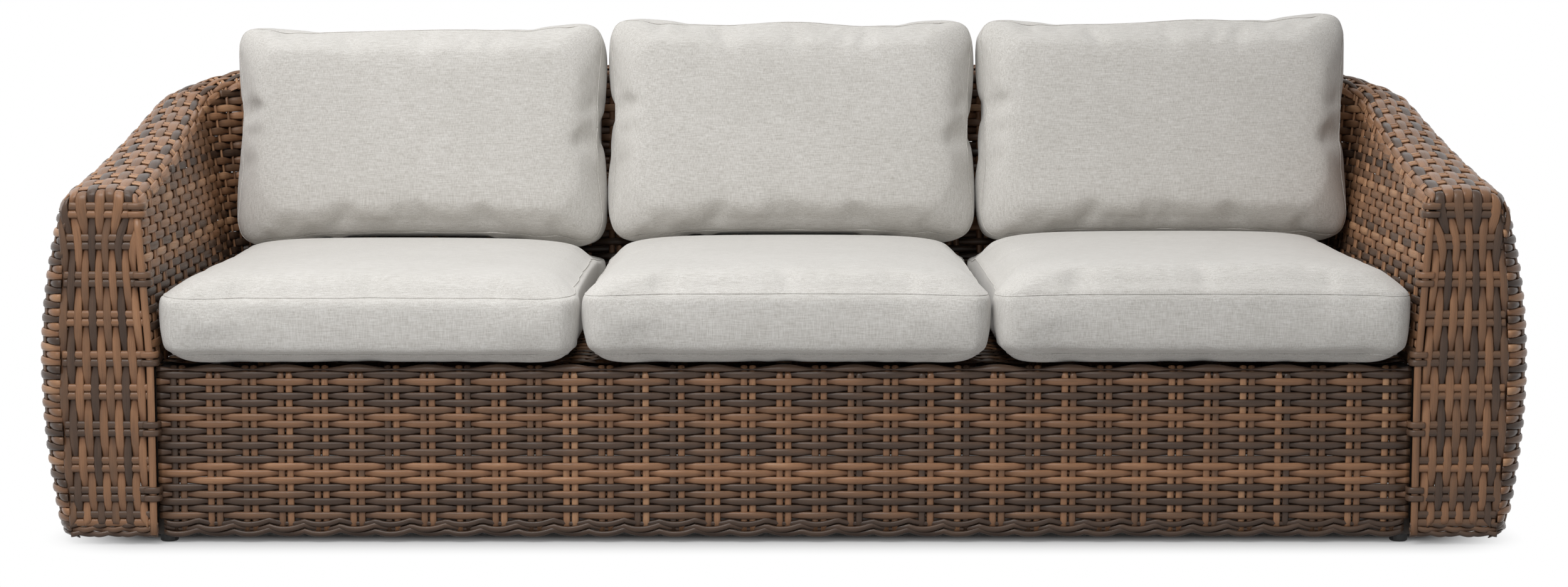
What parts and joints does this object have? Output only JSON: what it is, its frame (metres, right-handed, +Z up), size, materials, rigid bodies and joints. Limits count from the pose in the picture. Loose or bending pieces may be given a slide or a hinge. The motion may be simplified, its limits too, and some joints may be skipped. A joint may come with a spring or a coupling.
{
  "type": "three-seat woven garden sofa",
  "caption": "Low barrel-sided garden sofa with a wraparound woven shell, sloping arms and loose boxed seat and back cushions on a hidden tube frame.",
  "frame": {"origin": "on the ground under the middle of the sofa", "axes": "+X to the right as seen from the front, +Y towards the back, +Z up; the sofa faces -Y"},
  "size_m": [2.3, 0.94, 0.8015],
  "materials": {
    "weave": "satin",
    "frame_tube": "matte",
    "glide": "satin",
    "cushion_cloth": "matte",
    "foam": "matte"
  },
  "bodies": {
    "frame": {"apron_weave": "weave", "arm_front_weave_left": "weave", "arm_front_weave_right": "weave", "arm_side_weave_left": "weave", "arm_side_weave_right": "weave", "back_outer_weave": "weave", "arm_top_weave_left": "weave", "arm_top_weave_right": "weave", "back_top_weave": "weave", "arm_inner_weave_left": "weave", "arm_inner_weave_right": "weave", "back_inner_weave": "weave", "seat_deck_weave": "weave", "arm_hoop_front_left": "frame_tube", "arm_hoop_rear_left": "frame_tube", "arm_hoop_front_right": "frame_tube", "arm_hoop_rear_right": "frame_tube", "back_hoop_left": "frame_tube", "back_hoop_right": "frame_tube", "back_hoop_middle": "frame_tube", "arm_top_rail_left": "frame_tube", "arm_top_rail_right": "frame_tube", "back_top_rail_left": "frame_tube", "back_top_rail_right": "frame_tube", "arm_base_rail_left": "frame_tube", "arm_base_rail_right": "frame_tube", "back_base_rail_left": "frame_tube", "back_base_rail_right": "frame_tube", "corner_base_rail_left": "frame_tube", "corner_base_rail_right": "frame_tube", "front_base_rail": "frame_tube", "seat_rail_front": "frame_tube", "seat_rail_rear": "frame_tube", "seat_rail_left": "frame_tube", "seat_rail_right": "frame_tube", "seat_bearer_1": "frame_tube", "seat_bearer_2": "frame_tube", "seat_bearer_3": "frame_tube", "seat_bearer_4": "frame_tube", "leg_front_left": "frame_tube", "leg_front_right": "frame_tube", "leg_rear_left": "frame_tube", "leg_rear_right": "frame_tube", "glide_front_left": "glide", "glide_front_right": "glide", "glide_rear_left": "glide", "glide_rear_right": "glide"},
    "seat_cushion_left": {"seat_cushion_left_cover": "cushion_cloth", "seat_cushion_left_foam": "foam"},
    "seat_cushion_middle": {"seat_cushion_middle_cover": "cushion_cloth", "seat_cushion_middle_foam": "foam"},
    "seat_cushion_right": {"seat_cushion_right_cover": "cushion_cloth", "seat_cushion_right_foam": "foam"},
    "back_cushion_left": {"back_cushion_left_cover": "cushion_cloth", "back_cushion_left_foam": "foam"},
    "back_cushion_middle": {"back_cushion_middle_cover": "cushion_cloth", "back_cushion_middle_foam": "foam"},
    "back_cushion_right": {"back_cushion_right_cover": "cushion_cloth", "back_cushion_right_foam": "foam"}
  },
  "joints": [
    {"name": "seat_cushion_left_pull", "type": "slide", "parent": "frame", "child": "seat_cushion_left", "axis": [0, -1, 0], "range_m": [0, 0.7]},
    {"name": "seat_cushion_middle_pull", "type": "slide", "parent": "frame", "child": "seat_cushion_middle", "axis": [0, -1, 0], "range_m": [0, 0.7]},
    {"name": "seat_cushion_right_pull", "type": "slide", "parent": "frame", "child": "seat_cushion_right", "axis": [0, -1, 0], "range_m": [0, 0.7]},
    {"name": "back_cushion_left_lift", "type": "slide", "parent": "frame", "child": "back_cushion_left", "axis": [0, 0, 1], "range_m": [0, 0.36]},
    {"name": "back_cushion_middle_lift", "type": "slide", "parent": "frame", "child": "back_cushion_middle", "axis": [0, 0, 1], "range_m": [0, 0.36]},
    {"name": "back_cushion_right_lift", "type": "slide", "parent": "frame", "child": "back_cushion_right", "axis": [0, 0, 1], "range_m": [0, 0.36]}
  ]
}
